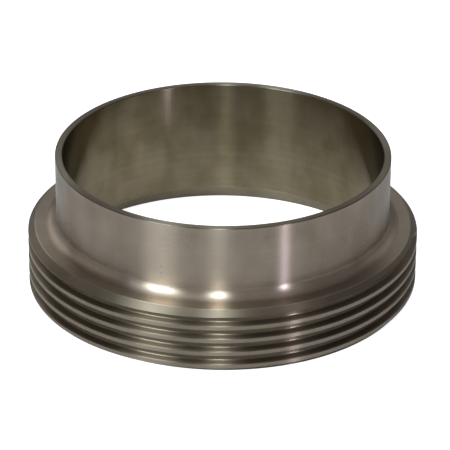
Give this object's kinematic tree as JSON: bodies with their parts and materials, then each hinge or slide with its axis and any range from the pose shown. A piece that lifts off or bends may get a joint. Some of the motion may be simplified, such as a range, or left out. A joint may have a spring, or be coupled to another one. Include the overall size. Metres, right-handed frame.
{
  "type": "threaded bevel seat ferrule",
  "caption": "Sanitary tube ferrule with a weld stub, a shouldered collar with an outside Acme thread, and a conical bevel seat in its mouth.",
  "frame": {"origin": "centre of the seat end face, on the bore axis", "axes": "+Z along the bore from the seat end towards the weld end; X and Y across the bore"},
  "size_m": [0.0892, 0.0892, 0.032],
  "materials": {
    "turned_stainless": "fine turned satin"
  },
  "bodies": {
    "root": {"ferrule": "turned_stainless"}
  },
  "joints": []
}
